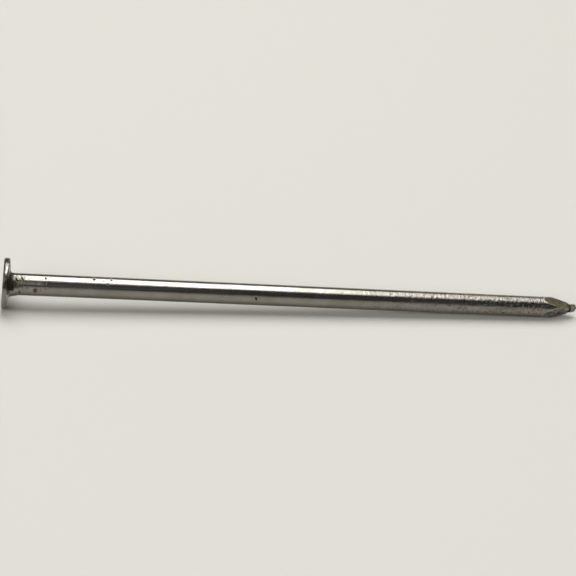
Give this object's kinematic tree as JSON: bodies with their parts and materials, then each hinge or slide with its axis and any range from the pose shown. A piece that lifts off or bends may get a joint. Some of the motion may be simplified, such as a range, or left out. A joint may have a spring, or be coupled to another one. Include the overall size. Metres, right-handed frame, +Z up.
{
  "type": "round wire nail",
  "caption": "Round steel wire nail with a thin flat head, a plain straight shank and a four-sided pinched point.",
  "frame": {"origin": "centre of the flat strike face, the outer face of the head", "axes": "+X along the shank from the head to the point, +Z up with the nail lying on its side, +Y level across the shank"},
  "size_m": [0.1028, 0.0086, 0.0088],
  "materials": {
    "bright_steel": "bright drawn low-carbon steel wire, uncoated, with fine lengthwise drawing lines and faint handling marks"
  },
  "bodies": {
    "root": {"nail": "bright_steel"}
  },
  "joints": []
}
